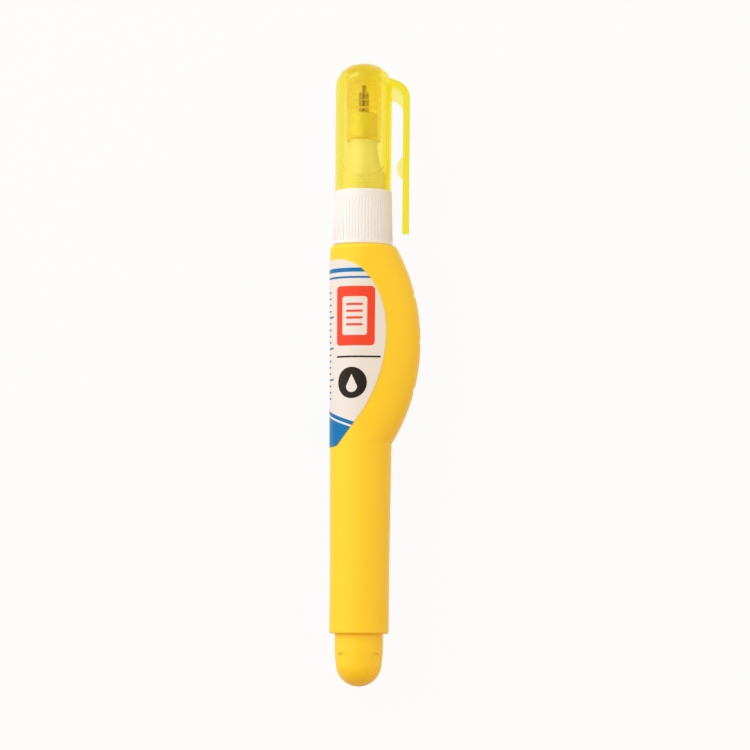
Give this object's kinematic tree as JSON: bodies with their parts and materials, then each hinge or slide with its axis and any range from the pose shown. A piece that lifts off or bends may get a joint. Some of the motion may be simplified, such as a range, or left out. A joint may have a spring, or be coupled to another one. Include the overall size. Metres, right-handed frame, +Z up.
{
  "type": "correction pen",
  "caption": "Squeeze correction pen lying flat: tapered barrel with a thumb bulge and wrap label, ribbed nozzle holder with a sprung needle tip, domed tail plug, and a see-through cap with a clip.",
  "frame": {"origin": "on the barrel's axis, in the middle of its plain tail band", "axes": "+Y along the pen towards the cap, +X towards the thumb bulge and the pocket clip, +Z up as the pen lies on a desk"},
  "size_m": [0.0177, 0.1201, 0.0126],
  "materials": {
    "barrel_plastic": "satin flexible polyethylene, warm yellow",
    "label_film": "printed white film",
    "holder_plastic": "white moulded plastic",
    "tip_metal": "turned and plated metal",
    "valve_steel": "bright steel",
    "valve_plastic": "natural moulded plastic",
    "cap_plastic": "see-through yellow moulded plastic"
  },
  "bodies": {
    "pen_body": {"barrel": "barrel_plastic", "tail_plug": "barrel_plastic", "label": "label_film", "nozzle_holder": "holder_plastic", "metal_tip": "tip_metal", "spring_retainer": "valve_plastic", "valve_spring": "valve_steel"},
    "needle": {"valve_needle": "valve_steel", "needle_carrier": "valve_plastic"},
    "ball": {"mixing_ball": "valve_steel"},
    "cap": {"cap": "cap_plastic"}
  },
  "joints": [
    {"name": "cap_pull", "type": "slide", "parent": "pen_body", "child": "cap", "axis": [0, 1, 0], "range_m": [0, 0.03]},
    {"name": "needle_press", "type": "slide", "parent": "pen_body", "child": "needle", "axis": [0, -1, 0], "range_m": [0, 0.00035], "stiffness_N_per_m": 400, "springref_m": -0.001, "deforming": ["valve_spring"]},
    {"name": "ball_roll", "type": "slide", "parent": "pen_body", "child": "ball", "axis": [0, 1, -0.0094], "range_m": [-0.019, 0.0365]}
  ]
}
